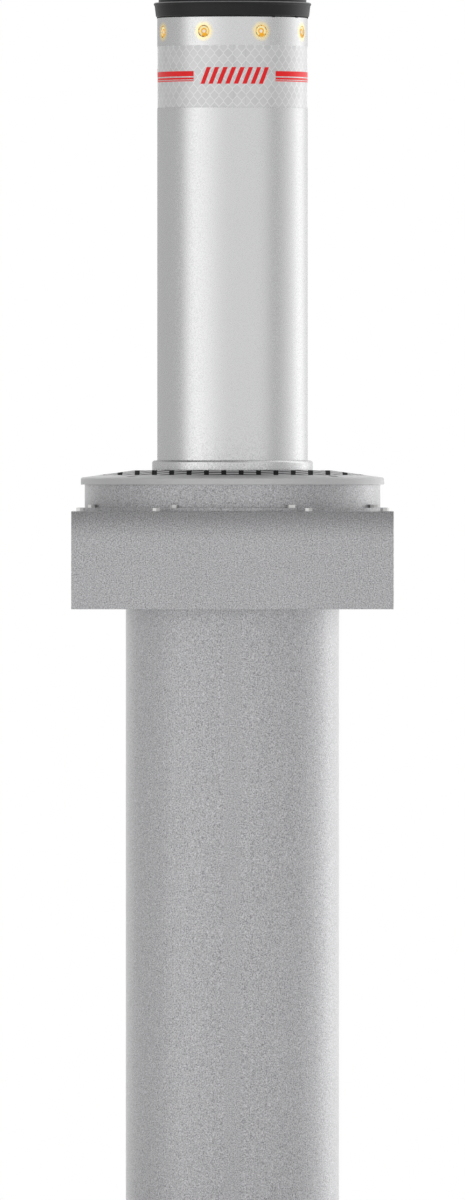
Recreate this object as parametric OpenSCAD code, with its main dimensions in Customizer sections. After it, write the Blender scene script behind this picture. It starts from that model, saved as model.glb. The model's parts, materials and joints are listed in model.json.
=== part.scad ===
// Rising security bollard, shown raised, with its buried pit casing.
// Millimetres. Z is up, the rising axis is the Z axis, and the front faces -Y.
// Z = 0 is the underside of the pit base. Heights written as "above the road"
// are turned into Z by adding road_z, and depths below the road are negative.

/* [Rising tube] */
// Outside diameter of the rising tube
tube_d = 273; // [230:1:300]
// Wall of the rising tube
tube_wall = 8; // [6:0.5:10]
// Travel between lowered and raised
travel = 800; // [500:10:900]
// Tube left below the collar's top when raised
tube_overlap = 317; // [310:1:360]
// Gap between the lowered cap and the collar's top
park_gap = 3.5; // [1:0.5:8]
// Width of the welded flange inside the tube's foot
foot_flange_w = 24.5; // [22:0.5:30]
// Thickness of the flange inside the tube's foot
foot_flange_t = 12; // [10:1:16]

/* [Head] */
// How far the cap's lip stands out past the tube
cap_lip = 6.3; // [4:0.1:9]
// How far the cap's lower edge stands out past the tube
cap_foot_lip = 2.5; // [1.5:0.1:4]
// Height of the cap's rim
cap_rim_h = 26; // [22:1:32]
// Height of the crown above the rim
cap_crown_h = 8; // [6:0.5:12]
// Step from the cap's lip in to its crown
cap_crown_step = 8.8; // [6:0.1:14]
// Thickness of the cap's top
cap_top_t = 12.5; // [10:0.5:16]
// Depth of the cap's spigot inside the tube
cap_spigot_h = 11.5; // [8:0.5:12]
// Wall of the cap's spigot
cap_spigot_wall = 6; // [4:0.5:8]
// Thickness of the cap's gasket
gasket_t = 2; // [1.5:0.1:3]
// Width of the gasket's three small tabs
gasket_tab_w = 5; // [4:0.5:8]
// Depth of the head plate's top below the cap
head_drop = 50.5; // [48:0.5:53]
// Thickness of the head plate
head_plate_t = 15; // [12:1:18]
// Width of the welded ledge that carries the head plate
head_ledge_w = 12; // [11:0.5:16]
// Thickness of the ledge that carries the head plate
head_ledge_t = 12; // [8:1:16]
// Circle radius of the three cap pillars
pillar_circle_r = 82; // [70:1:90]
// Width across the flats of a cap pillar
pillar_af = 20; // [18:1:24]

/* [Lights] */
// Number of light lenses round the head
lens_count = 8; // [8:1:8]
// Diameter of a light lens
lens_d = 21.6; // [16:0.2:22]
// Clearance round a lens in the tube wall
lens_gap = 0.2; // [0.1:0.05:0.4]
// Depth of the lens centres below the cap
lens_drop = 28; // [26:0.5:30]
// Diameter of the clamping shoulder behind a lens
lens_shoulder_d = 26; // [24:0.5:26]
// Thickness of the clamping shoulder behind a lens
lens_shoulder_t = 3.8; // [3:0.1:5]
// Diameter of the amber dome in a lens
lens_dome_d = 11.6; // [8:0.2:13]
// Height of the light board
board_h = 30; // [26:1:32]
// Thickness of the light board
board_t = 3; // [2:0.5:4]

/* [Reflective band] */
// Height of the reflective band
band_h = 112; // [70:1:150]
// Depth of the band's top edge below the cap
band_drop = 53.6; // [50:0.1:90]
// Depth of the turned recess that holds the band
band_recess = 1.5; // [1:0.1:2]
// Thickness of the band
band_t = 1; // [0.6:0.1:1]
// Thickness of the film that the stripes and bars are cut from
film_t = 0.25; // [0.2:0.05:0.3]
// Thickness of the glue between the band and that film
glue_t = 0.15; // [0.1:0.05:0.15]
// Heights of the three stripes, from the top one down
stripe_h = [9.4, 3.6, 1.8];
// Gaps below the first and the second stripe
stripe_gap = [2.2, 1.4];
// Depth of the first stripe's top edge below the band's top edge
stripe_drop = 46.5; // [20:0.5:70]
// Number of barred fields round the band
field_count = 3; // [1:1:4]
// Half angle of a barred field, from its centre to the stripes
field_half_angle = 33; // [25:1:36]
// Turn of the first field from straight ahead
field_turn = 1.9; // [-10:0.1:10]
// Number of slanted bars in a field
bar_count = 8; // [4:1:10]
// Half angle of a field that the bars fill
bar_half_angle = 26; // [15:1:29]
// Height of the slanted bars
bar_h = 30.2; // [15:0.1:40]
// Depth of the bars' top edge below the band's top edge
bar_drop = 39.6; // [10:0.1:60]

/* [Collar and guide] */
// Running clearance round everything that slides
run_gap = 0.3; // [0.2:0.05:0.5]
// Gap left where a moving piece stops against a fixed one
stop_gap = 0.3; // [0.2:0.05:0.5]
// Height of the collar above the tread
collar_h = 18; // [14:1:24]
// Radial width of the visible collar
collar_w = 6.2; // [5:0.1:10]
// Gap between the tube and the bare collar
collar_gap = 3; // [2:0.1:4]
// Radius on the collar's top edge
collar_round = 5; // [2:0.5:5]
// Wall of the guide bushes
bush_wall = 4.2; // [3:0.1:6]
// Length of each guide bush
bush_len = 40; // [25:1:60]
// Wall of the guide sleeve
sleeve_wall = 6; // [4:0.5:10]
// Length of the guide sleeve
sleeve_len = 217; // [180:1:225]
// Width of the flange at the guide sleeve's top
sleeve_flange_w = 9; // [6:0.5:10]
// Thickness of the flanges of the sleeve and of the collar
clamp_flange_t = 6; // [4:0.5:7]

/* [Guide columns] */
// Diameter of the four guide columns
column_d = 25; // [20:1:28]
// Gap between the guide sleeve and the columns
column_gap = 6.5; // [5:0.5:12]
// Diameter of the columns' threaded ends
column_thread_d = 16; // [10:1:18]
// Wall of the slide bushes on the columns
slide_wall = 3; // [2:0.5:4]
// Margin of the guide ring outside the columns' circle
ring_margin = 21; // [20:0.5:28]
// Thickness of the guide ring
ring_t = 20; // [18:1:28]
// Wall of the rubber stops on the columns
stop_wall = 9.5; // [6:0.5:9.5]
// Height of the rubber stops on the columns
stop_h = 34; // [15:1:38]
// Height of the foot bumpers
bumper_h = 39.5; // [25:0.5:60]
// Diameter of the foot bumpers
bumper_d = 36; // [24:1:44]
// Thickness of the foot plate
foot_plate_t = 15; // [12:1:20]
// Margin of the foot plate outside the columns' centres
foot_margin = 27; // [20:1:30]

/* [Ram] */
// Diameter of the ram's rod
rod_d = 45; // [35:1:50]
// Inside diameter of the ram's barrel
barrel_bore_d = 70; // [64:1:76]
// Wall of the ram's barrel
barrel_wall = 10; // [7:0.5:12]
// Thickness of the barrel's closed bottom
barrel_floor_t = 15; // [10:1:20]
// Height of the block under the ram
ram_block_h = 35; // [25:1:50]
// Diameter of the block under the ram
ram_block_d = 120; // [110:1:140]
// Height of the gland nut above the barrel
gland_h = 18; // [12:1:24]
// Height of the gland nut's skirt round the barrel
gland_skirt_h = 25; // [15:1:35]
// Wall of the gland nut's skirt
gland_wall = 5; // [4:0.5:8]
// Gap between the gland nut and the lowered head plate
gland_gap = 22; // [10:1:40]
// Height of the piston
piston_h = 40; // [30:1:60]
// Rod left inside the barrel above the piston when raised
rod_hold = 110; // [60:1:150]
// Diameter of the rod's threaded head end
rod_thread_d = 30; // [24:1:30]
// Thickness of the washer under the rod's nut
washer_t = 4; // [3:0.5:6]

/* [Road frame] */
// Height of the tread's flat crown above the road
tread_rise = 14; // [10:0.5:20]
// Depth of the tread's rim below the road
tread_skirt = 12; // [10:1:16]
// Height of the tread's outer edge above the road
tread_edge = 0.7; // [0:0.1:2]
// Width of the flat crown outside the collar
tread_crown_w = 32.6; // [20:0.1:45]
// Width of the smooth rim round the grip field
tread_rim_w = 33.4; // [28:0.1:40]
// How far the tread overhangs the neck
tread_overhang = 7; // [2:0.5:12]
// Pitch of the tread studs
stud_pitch = 31.3; // [24:0.1:45]
// Width of a tread stud
stud_w = 22.3; // [14:0.1:23]
// Depth of the grooves between the studs
groove_d = 5; // [3:0.1:6]
// Plain ring between the collar and the studs
grip_inset = 6; // [3:0.5:12]
// Depth of the grip filling below the stud tops
grip_sink = 0.1; // [0:0.05:2]
// Thickness of the plate that the guide hangs from
unit_plate_t = 16; // [14:1:20]
// Width of the plate outside the pit's bore
unit_plate_margin = 39.5; // [36:0.5:60]
// Width of the neck's lower ledge under the plate
ledge_bearing = 22; // [20:0.5:26]
// Thickness of the neck's lower ledge
ledge_t = 8; // [6:1:12]
// Gap between the plate and the neck's upper ledge
plate_gap = 2; // [1:0.5:4]
// Width of the neck's upper ledge
rim_ledge_w = 30; // [28:0.5:40]
// Thickness of the neck's upper ledge
rim_ledge_t = 12; // [8:1:12]
// Wall of the round neck
neck_wall = 6; // [4:0.5:10]
// Width of the foot flange round the neck
neck_foot_w = 15; // [14:0.5:18]
// Thickness of the foot flange round the neck
neck_foot_t = 6; // [4:0.5:10]

/* [Pit casing] */
// Thickness of the paving over the box
paving_t = 60; // [58:1:90]
// Height of the square box
box_h = 176; // [150:1:220]
// Margin of the square box outside the neck
box_margin = 22; // [20:0.5:60]
// Sheet thickness of the box and the pit tube
sheet_t = 3; // [2:0.5:4]
// Thickness of the box's floor
box_floor_t = 5; // [3:0.5:8]
// Thickness of the box's lid
lid_t = 5; // [4:0.5:8]
// Width of the frame under the lid's edge
lid_ledge_w = 25; // [22:1:30]
// Thickness of the frame under the lid's edge
lid_frame_t = 4; // [3:1:8]
// Gap round the pieces that drop in from above
drop_gap = 0.3; // [0.2:0.1:1]
// Gap between the guide ring and the pit tube
pit_gap = 3.5; // [2:0.5:8]
// Depth of the sump under the foot plate
sump_h = 212; // [120:1:300]
// Thickness of the pit's base plate
base_t = 8; // [6:1:16]
// Width of the base plate outside the pit tube
base_margin = 6.5; // [4:0.5:20]

/* [Ports] */
// Inside diameter of the drain socket
drain_d = 63; // [50:1:80]
// Wall of the drain socket
drain_wall = 6.5; // [4:0.5:8]
// Height of the drain socket above the base plate
drain_up = 22; // [15:1:40]
// Inside diameter of the conduit sleeve
conduit_d = 63; // [40:1:70]
// Wall of the conduit sleeve
conduit_wall = 4.5; // [3:0.5:6]
// Length of the conduit sleeve
conduit_len = 50; // [30:1:60]
// Depth of the conduit sleeve's axis below the road
conduit_depth = 150; // [135:1:165]

/* [Hidden] */
// Smoothness of round pieces
$fn = 96;
// Overlap that keeps cuts clean
cut = 1;
// Full turn, and the turn from +X to the front
turn = 360;
front = -90;

// Radii, from the tube outwards
tube_r = tube_d / 2;
bore_r = tube_r - tube_wall;
bush_r = tube_r + run_gap;
sleeve_bore_r = bush_r + bush_wall;
sleeve_r = sleeve_bore_r + sleeve_wall;
clamp_r = sleeve_r + sleeve_flange_w;
column_r = column_d / 2;
column_circle_r = sleeve_r + column_gap + column_r;
ring_r = column_circle_r + ring_margin;
slide_r = column_r + run_gap + slide_wall;
pit_bore_r = ring_r + pit_gap;
pit_r = pit_bore_r + sheet_t;
unit_plate_r = pit_bore_r + unit_plate_margin;
rim_ledge_bore_r = unit_plate_r + plate_gap;
neck_bore_r = rim_ledge_bore_r + rim_ledge_w;
neck_r = neck_bore_r + neck_wall;
tread_r = neck_r + tread_overhang;
box_half = neck_r + box_margin;
box_inner = box_half - sheet_t;
base_r = pit_r + base_margin;

// Radii inside the tube and at the collar
foot_flange_r = bore_r - foot_flange_w;
ring_bolt_circle_r = bore_r - foot_flange_w / 2;
head_plate_r = bore_r - drop_gap;
head_ledge_r = bore_r - head_ledge_w;
collar_bore_r = tube_r + collar_gap;
collar_r = collar_bore_r + collar_w;
collar_spigot_wall = 3.2;
collar_spigot_r = collar_bore_r + collar_spigot_wall;
rod_r = rod_d / 2;
barrel_bore_r = barrel_bore_d / 2;
barrel_r = barrel_bore_r + barrel_wall;

// Heights above the road
collar_top = tread_rise + collar_h;
tread_bottom = -tread_skirt;
unit_plate_bottom = tread_bottom - unit_plate_t;
tube_foot = collar_top - tube_overlap;
ring_bottom = tube_foot - ring_t;
foot_top = ring_bottom - travel - stop_gap - bumper_h;
foot_bottom = foot_top - foot_plate_t;
pit_floor = foot_bottom - sump_h;
pit_depth = base_t - pit_floor;
road_z = pit_depth;
box_top = -paving_t;
box_bottom = box_top - box_h;
lid_bottom = box_top - lid_t;

// Heights of the head above the road, at the raised place
cap_bottom = collar_top + travel + park_gap;
tube_top = cap_bottom - gasket_t;
lens_level = cap_bottom - lens_drop;
band_top = cap_bottom - band_drop;
head_plate_top = cap_bottom - head_drop;
head_plate_bottom = head_plate_top - head_plate_t;
cap_ceiling = cap_bottom + cap_rim_h + cap_crown_h - cap_top_t;
cap_top = cap_bottom + cap_rim_h + cap_crown_h;

// Heights of the ram above the road
gland_top = head_plate_bottom - travel - gland_gap;
barrel_top = gland_top - gland_h;
barrel_bottom = foot_top + ram_block_h;
piston_top = barrel_top - rod_hold;

// Fasteners: thread, head and socket sizes
m8_d = 8;
m8_head_d = 13;
m8_head_h = 8;
m10_d = 10;
m10_head_d = 16;
m10_head_h = 8;
m12_d = 12;
m12_head_d = 18;
m12_head_h = 8;
hole_gap = 0.2;
socket_share = 0.55;
socket_depth = 4;
hex_head_h = 6;
hex_nut_af = 24;
hex_nut_h = 12;
rod_nut_af = 46;
rod_nut_h = 24;
csk_head_h = 5;
csk_head_d = 20;
ring_bolt_count = 8;
ring_bolt_turn = 22.5;
head_bolt_count = 6;
pillar_count = 3;
pillar_turn = 90;
unit_bolt_count = 8;
flange_screw_count = 8;
neck_bolt_count = 8;
lid_bolt_shares = [-1, -0.5, 0.5];
column_count = 4;
column_turn = 45;

// Moves its children up to a height above the road
module at(height) {
  translate([0, 0, road_z + height]) children();
}

// Copies its children round a circle
module around(count, circle_r, first = 0) {
  for (k = [0:count - 1])
    rotate(first + turn * k / count) translate([circle_r, 0, 0]) children();
}

// Tube between two heights above the road
module pipe(outer_r, inner_r, low, high) {
  at(low) difference() {
    cylinder(r = outer_r, h = high - low);
    translate([0, 0, -cut]) cylinder(r = inner_r, h = high - low + 2 * cut);
  }
}

// Upright hole or rod, from one height to another
module rod(r, low, high) {
  at(low) cylinder(r = r, h = high - low);
}

// Hexagon prism with its size across the flats
module hexagon(af, h) {
  cylinder(d = af / cos(30), h = h, $fn = 6);
}

// Socket head screw that hangs down from z = 0, with its head above
module socket_screw(d, head_d, head_h, shank) {
  difference() {
    union() {
      translate([0, 0, -shank]) cylinder(d = d, h = shank);
      cylinder(d = head_d, h = head_h);
    }
    translate([0, 0, head_h - socket_depth]) hexagon(head_d * socket_share, socket_depth + cut);
  }
}

// Hexagon head screw that hangs down from z = 0, with its head above
module hex_screw(d, af, head_h, shank) {
  translate([0, 0, -shank]) cylinder(d = d, h = shank);
  hexagon(af, head_h);
}

// Pit casing

module pit_base() {
  socket_r = drain_d / 2 + drain_wall;
  color("gray") difference() {
    union() {
      cylinder(r = base_r, h = base_t);
      cylinder(r = socket_r, h = base_t + drain_up);
    }
    translate([0, 0, -cut]) cylinder(d = drain_d, h = base_t + drain_up + 2 * cut);
  }
}

// Slotted cover that sits on the drain socket
module drain_strainer() {
  strainer_t = 5;
  skirt_h = 6;
  slot_count = 8;
  slot_w = 5;
  slot_in = 9;
  rim_r = drain_d / 2 + drain_wall;
  color("dimgray") translate([0, 0, base_t + drain_up]) difference() {
    union() {
      cylinder(r = rim_r, h = strainer_t);
      translate([0, 0, strainer_t]) cylinder(r1 = rim_r, r2 = rim_r / 2, h = skirt_h);
    }
    for (k = [0:slot_count - 1])
      rotate(turn * k / slot_count)
        translate([slot_in, -slot_w / 2, -cut])
          cube([drain_d / 2 - slot_in, slot_w, strainer_t + skirt_h + 2 * cut]);
  }
}

module pit_tube() {
  color("darkgray") pipe(pit_r, pit_bore_r, pit_floor, box_bottom);
}

// Front and sides of the box, folded from one sheet with rounded front corners
module casing_box() {
  color("darkgray") difference() {
    at(box_bottom) linear_extrude(box_h) {
      translate([-box_half, sheet_t - box_half]) square([2 * box_half, 2 * box_inner]);
      translate([-box_inner, -box_half]) square([2 * box_inner, 2 * sheet_t]);
      for (side = [-1, 1]) translate([side * box_inner, -box_inner]) circle(r = sheet_t);
    }
    at(box_bottom - cut) translate([-box_inner, -box_inner, 0])
      cube([2 * box_inner, 2 * box_half, box_h + 2 * cut]);
  }
}

// Rear plate of the box, with the hole for the conduit sleeve
module casing_rear() {
  color("darkgray") difference() {
    at(box_bottom) translate([-box_half, box_inner, 0]) cube([2 * box_half, sheet_t, box_h]);
    at(-conduit_depth) rotate([-90, 0, 0])
      cylinder(r = conduit_d / 2 + conduit_wall, h = box_half + cut);
  }
}

// Floor of the box, welded round the pit tube's top
module box_floor() {
  color("darkgray") difference() {
    at(box_bottom) translate([-box_inner, -box_inner, 0])
      cube([2 * box_inner, 2 * box_inner, box_floor_t]);
    rod(pit_bore_r, box_bottom - cut, box_bottom + box_floor_t + cut);
  }
}

// Frame welded inside the box that carries the lid
module lid_frame() {
  open_half = box_inner - lid_ledge_w;
  color("darkgray") difference() {
    at(lid_bottom - lid_frame_t) translate([-box_inner, -box_inner, 0])
      cube([2 * box_inner, 2 * box_inner, lid_frame_t]);
    at(lid_bottom - lid_frame_t - cut) translate([-open_half, -open_half, 0])
      cube([2 * open_half, 2 * open_half, lid_frame_t + 2 * cut]);
    lid_bolt_places() rod(m8_d / 2, lid_bottom - lid_frame_t - cut, lid_bottom + cut);
  }
}

// Sleeve in the rear wall, flush outside, that a buried conduit plugs into
module conduit_sleeve() {
  flange_w = 8;
  flange_t = 5;
  outer_r = conduit_d / 2 + conduit_wall;
  color("dimgray") at(-conduit_depth) rotate([-90, 0, 0]) difference() {
    union() {
      translate([0, 0, box_half - conduit_len]) cylinder(r = outer_r, h = conduit_len);
      translate([0, 0, box_inner - flange_t]) cylinder(r = outer_r + flange_w, h = flange_t);
    }
    translate([0, 0, box_half - conduit_len - cut]) cylinder(d = conduit_d, h = conduit_len + 2 * cut);
  }
}

// Places of the bolts along the lid's edges
module lid_bolt_places() {
  reach = box_inner - lid_ledge_w / 2;
  for (side = [0:3])
    rotate(side * 90)
      for (share = lid_bolt_shares)
        translate([reach, reach * share, 0]) children();
}

// Places of the bolts round the neck's foot
module neck_bolt_places() {
  around(neck_bolt_count, neck_r + neck_foot_w / 2, turn / neck_bolt_count / 2) children();
}

module box_lid() {
  half = box_inner - drop_gap;
  color("darkgray") difference() {
    at(lid_bottom) translate([-half, -half, 0]) cube([2 * half, 2 * half, lid_t]);
    rod(neck_bore_r, lid_bottom - cut, box_top + cut);
    lid_bolt_places() rod(m8_d / 2 + hole_gap, lid_bottom - cut, box_top + cut);
    neck_bolt_places() rod(m8_d / 2, lid_bottom - cut, box_top + cut);
  }
}

module lid_bolts() {
  color("silver") lid_bolt_places() at(box_top)
    hex_screw(m8_d, m8_head_d, hex_head_h, lid_t + lid_frame_t);
}

// Round neck from the box's lid up to the road, with two ledges inside
module neck_drum() {
  color("darkgray") difference() {
    union() {
      pipe(neck_r, neck_bore_r, box_top, tread_bottom);
      pipe(neck_r + neck_foot_w, neck_bore_r, box_top, box_top + neck_foot_t);
      pipe(neck_r, rim_ledge_bore_r, tread_bottom - rim_ledge_t, tread_bottom);
      pipe(neck_r, unit_plate_r - ledge_bearing, unit_plate_bottom - ledge_t, unit_plate_bottom);
    }
    neck_bolt_places() rod(m8_d / 2 + hole_gap, box_top - cut, box_top + neck_foot_t + cut);
    unit_bolt_places() rod(m12_d / 2, unit_plate_bottom - ledge_t - cut, unit_plate_bottom + cut);
    flange_screw_places() rod(m10_d / 2, tread_bottom - rim_ledge_t - cut, tread_bottom + cut);
  }
}

module neck_bolts() {
  color("silver") neck_bolt_places() at(box_top + neck_foot_t)
    hex_screw(m8_d, m8_head_d, hex_head_h, neck_foot_t + lid_t);
}

// Road frame

module unit_bolt_places() {
  around(unit_bolt_count, unit_plate_r - ledge_bearing / 2, turn / unit_bolt_count / 2) children();
}

flange_screw_circle_r = neck_bore_r - m10_d / 2 - 1;

module flange_screw_places() {
  around(flange_screw_count, flange_screw_circle_r) children();
}

module column_places() {
  around(column_count, column_circle_r, column_turn) children();
}

column_thread_floor = 2;
column_thread_h = unit_plate_t - column_thread_floor;

// Ring plate that the guide sleeve, the columns and the ram hang from
module unit_plate() {
  color("lightgray") difference() {
    pipe(unit_plate_r, sleeve_r + drop_gap, unit_plate_bottom, tread_bottom);
    rod(clamp_r + drop_gap, tread_bottom - clamp_flange_t, tread_bottom + cut);
    column_places() rod(column_thread_d / 2, unit_plate_bottom - cut, unit_plate_bottom + column_thread_h);
    unit_bolt_places() {
      rod(m12_d / 2 + hole_gap, unit_plate_bottom - cut, tread_bottom + cut);
      rod(m12_head_d / 2 + hole_gap, tread_bottom - m12_head_h, tread_bottom + cut);
    }
  }
}

module unit_bolts() {
  color("silver") unit_bolt_places() at(tread_bottom - m12_head_h)
    socket_screw(m12_d, m12_head_d, m12_head_h, unit_plate_t - m12_head_h + ledge_t);
}

tread_crown_r = collar_r + tread_crown_w;
grip_r = tread_r - tread_rim_w;
grip_bore_r = collar_r + grip_inset;

// Height of the tread's top at a radius, flat on the crown and sloping to the edge
function tread_height(r) = r <= tread_crown_r ? tread_rise
  : tread_rise - (tread_rise - tread_edge) * (r - tread_crown_r) / (tread_r - tread_crown_r);

// Layer under the tread's top, between two depths, over the grip field
module grip_layer(deep, shallow) {
  at(0) rotate_extrude()
    polygon([
      [grip_bore_r, tread_rise - deep],
      [tread_crown_r, tread_rise - deep],
      [grip_r, tread_height(grip_r) - deep],
      [grip_r, tread_height(grip_r) - shallow],
      [tread_crown_r, tread_rise - shallow],
      [grip_bore_r, tread_rise - shallow]]);
}

// Straight grooves both ways across the tread, which leave square studs between them
module groove_grid(groove_w) {
  lines = floor(grip_r / stud_pitch + 0.5);
  at(tread_edge - groove_d) linear_extrude(tread_rise + groove_d + cut)
    for (way = [0, 90])
      rotate(way)
        for (k = [1:lines], side = [-1, 1])
          translate([side * (k - 0.5) * stud_pitch, 0]) square([groove_w, 2 * tread_r], center = true);
}

// Height of the countersunk heads, just below the slope at their outer side
csk_sink = 0.3;
screw_level = tread_height(flange_screw_circle_r + csk_head_d / 2) - csk_sink;

// Domed ring cast with a field of square studs
module tread_flange() {
  edge_round = 2;
  color("silver") difference() {
    at(0) rotate_extrude()
      polygon([
        [collar_spigot_r + drop_gap, tread_rise],
        [tread_crown_r, tread_rise],
        [tread_r - edge_round, tread_height(tread_r - edge_round)],
        [tread_r, tread_edge - edge_round],
        [tread_r, tread_bottom],
        [clamp_r + drop_gap, tread_bottom],
        [clamp_r + drop_gap, tread_bottom + clamp_flange_t],
        [collar_spigot_r + drop_gap, tread_bottom + clamp_flange_t]]);
    intersection() {
      grip_layer(groove_d, -cut);
      groove_grid(stud_pitch - stud_w);
    }
    flange_screw_places() {
      rod(m10_d / 2 + hole_gap, tread_bottom - cut, screw_level);
      at(screw_level - csk_head_h) cylinder(d1 = m10_d, d2 = csk_head_d, h = csk_head_h);
      rod(csk_head_d / 2, screw_level, tread_rise);
    }
  }
}

// Moulded grip lattice that fills the grooves between the studs
module tread_grip() {
  side_gap = 0.1;
  color([0.12, 0.12, 0.12]) intersection() {
    grip_layer(groove_d, grip_sink);
    groove_grid(stud_pitch - stud_w - 2 * side_gap);
  }
}

module flange_screws() {
  shank = screw_level - csk_head_h - tread_bottom + rim_ledge_t;
  color("silver") flange_screw_places() at(screw_level) difference() {
    union() {
      translate([0, 0, -csk_head_h]) cylinder(d1 = m10_d, d2 = csk_head_d, h = csk_head_h);
      translate([0, 0, -csk_head_h - shank]) cylinder(d = m10_d, h = shank);
    }
    translate([0, 0, -socket_depth]) hexagon(m10_d * socket_share, socket_depth + cut);
  }
}

seal_groove_h = 6;
seal_groove_d = 2;
seal_sink = 1;
seal_top = collar_top - seal_sink;
seal_h = 12;
seal_key_up = 3;
seal_key_low = seal_top - seal_h + seal_key_up;

// Turned collar with a rounded top edge, a seal groove and a clamped flange
module collar_ring() {
  color("silver") at(0) rotate_extrude() difference() {
    union() {
      translate([collar_bore_r, tread_rise]) square([collar_w, collar_h - collar_round]);
      translate([collar_bore_r, tread_rise]) square([collar_w - collar_round, collar_h]);
      translate([collar_r - collar_round, collar_top - collar_round]) circle(r = collar_round);
      translate([collar_bore_r, tread_bottom])
        square([collar_spigot_wall, tread_rise - tread_bottom]);
      translate([collar_bore_r, tread_bottom]) square([clamp_r - collar_bore_r, clamp_flange_t]);
    }
    translate([0, seal_key_low]) square([collar_bore_r + seal_groove_d, seal_groove_h]);
    translate([0, tread_bottom - cut]) square([collar_bore_r, collar_top - tread_bottom + 2 * cut]);
  }
}

// Wiper seal keyed into the collar, with a lip against the tube
module scraper_seal() {
  lip_h = 4;
  lip_w = 0.6;
  lip_back_h = 2.5;
  heel_gap = 1.2;
  key_r = collar_bore_r + seal_groove_d;
  color([0.1, 0.1, 0.1]) at(0) rotate_extrude()
    polygon([
      [bush_r, seal_top],
      [bush_r + lip_w, seal_top],
      [collar_bore_r, seal_top - lip_back_h],
      [collar_bore_r, seal_key_low + seal_groove_h],
      [key_r, seal_key_low + seal_groove_h],
      [key_r, seal_key_low],
      [collar_bore_r, seal_key_low],
      [collar_bore_r, seal_top - seal_h],
      [bush_r + heel_gap, seal_top - seal_h],
      [bush_r, seal_top - lip_h]]);
}

// Guide

sleeve_top = tread_bottom;
sleeve_bottom = sleeve_top - clamp_flange_t - sleeve_len;

module guide_sleeve() {
  color("lightgray") union() {
    pipe(sleeve_r, sleeve_bore_r, sleeve_bottom, sleeve_top);
    pipe(clamp_r, sleeve_bore_r, sleeve_top - clamp_flange_t, sleeve_top);
  }
}

module guide_bush(top) {
  color("saddlebrown") pipe(sleeve_bore_r, bush_r, top - bush_len, top);
}

module guide_bush_upper() {
  guide_bush(sleeve_top);
}

module guide_bush_lower() {
  guide_bush(sleeve_bottom + bush_len);
}

// Ground column, screwed into the unit plate and nutted under the foot plate
module guide_column(k) {
  tail = foot_plate_t + hex_nut_h;
  color("silver") rotate(column_turn + turn * (k - 1) / column_count)
    translate([column_circle_r, 0, 0]) {
      rod(column_r, foot_top, unit_plate_bottom);
      rod(column_thread_d / 2, unit_plate_bottom - cut, unit_plate_bottom + column_thread_h);
      rod(column_thread_d / 2, foot_top - tail, foot_top + cut);
    }
}

module column_nuts() {
  color("silver") column_places() at(foot_bottom - hex_nut_h) difference() {
    hexagon(hex_nut_af, hex_nut_h);
    translate([0, 0, -cut]) cylinder(d = column_thread_d, h = hex_nut_h + 2 * cut);
  }
}

// Rubber stops on the columns that end the rise
module column_stops() {
  stop_low = tube_foot + stop_gap;
  color([0.12, 0.12, 0.12]) column_places() at(stop_low) difference() {
    cylinder(r = column_r + stop_wall, h = stop_h);
    translate([0, 0, -cut]) cylinder(r = column_r, h = stop_h + 2 * cut);
  }
}

// Square plate that the columns stand in, with its corners turned to clear the round pit
module foot_plate() {
  foot_half = column_circle_r * sin(column_turn) + foot_margin;
  color("gray") difference() {
    intersection() {
      rod(ring_r, foot_bottom, foot_top);
      at(foot_bottom) translate([-foot_half, -foot_half, 0])
        cube([2 * foot_half, 2 * foot_half, foot_plate_t]);
    }
    column_places() rod(column_thread_d / 2, foot_bottom - cut, foot_top + cut);
  }
}

bumper_gap = 1;
bumper_circle_r = column_circle_r - slide_r - bumper_gap - bumper_d / 2;

// Rubber bumpers under the lowered guide ring
module foot_bumpers() {
  top_round = 4;
  color([0.12, 0.12, 0.12]) around(column_count, bumper_circle_r, column_turn) at(foot_top) rotate_extrude() union() {
    square([bumper_d / 2, bumper_h - top_round]);
    square([bumper_d / 2 - top_round, bumper_h]);
    translate([bumper_d / 2 - top_round, bumper_h - top_round]) intersection() {
      circle(r = top_round);
      square(2 * top_round);
    }
  }
}

// Ram

module ram_block() {
  color("gray") rod(ram_block_d / 2, foot_top, barrel_bottom);
}

port_above_floor = 15;
port_level = barrel_bottom + barrel_floor_t + port_above_floor;
port_thread_r = 9;

module ram_barrel() {
  color([0.2, 0.21, 0.22]) difference() {
    rod(barrel_r, barrel_bottom, barrel_top);
    rod(barrel_bore_r, barrel_bottom + barrel_floor_t, barrel_top + cut);
    at(port_level) rotate([-90, 0, 0]) cylinder(r = port_thread_r, h = barrel_r + cut);
  }
}

// Gland nut with a skirt round the barrel and a running bore for the rod
module ram_gland_nut() {
  nut_r = barrel_r + gland_wall;
  color("silver") difference() {
    rod(nut_r, barrel_top - gland_skirt_h, gland_top);
    rod(barrel_r, barrel_top - gland_skirt_h - cut, barrel_top);
    rod(rod_r + run_gap, barrel_top - cut, gland_top + cut);
  }
}

// Screwed hose port in the barrel's side
module ram_port() {
  port_af = 24;
  hex_out = 14;
  reach = 34;
  hose_bore_r = 4;
  thread_in = 1;
  color("silver") at(port_level) rotate([-90, 0, 0]) difference() {
    union() {
      translate([0, 0, barrel_bore_r + thread_in]) cylinder(r = port_thread_r, h = barrel_wall + reach - thread_in);
      translate([0, 0, barrel_r]) hexagon(port_af, hex_out);
    }
    translate([0, 0, barrel_bore_r]) cylinder(r = hose_bore_r, h = barrel_wall + reach + cut);
  }
}

rod_thread_top = head_plate_top + washer_t + rod_nut_h;
piston_thread_r = 12;

module ram_rod() {
  color("gainsboro") union() {
    rod(rod_r, piston_top, head_plate_bottom);
    rod(rod_thread_d / 2, head_plate_bottom - cut, rod_thread_top);
    rod(piston_thread_r, piston_top - piston_h, piston_top + cut);
  }
}

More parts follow.
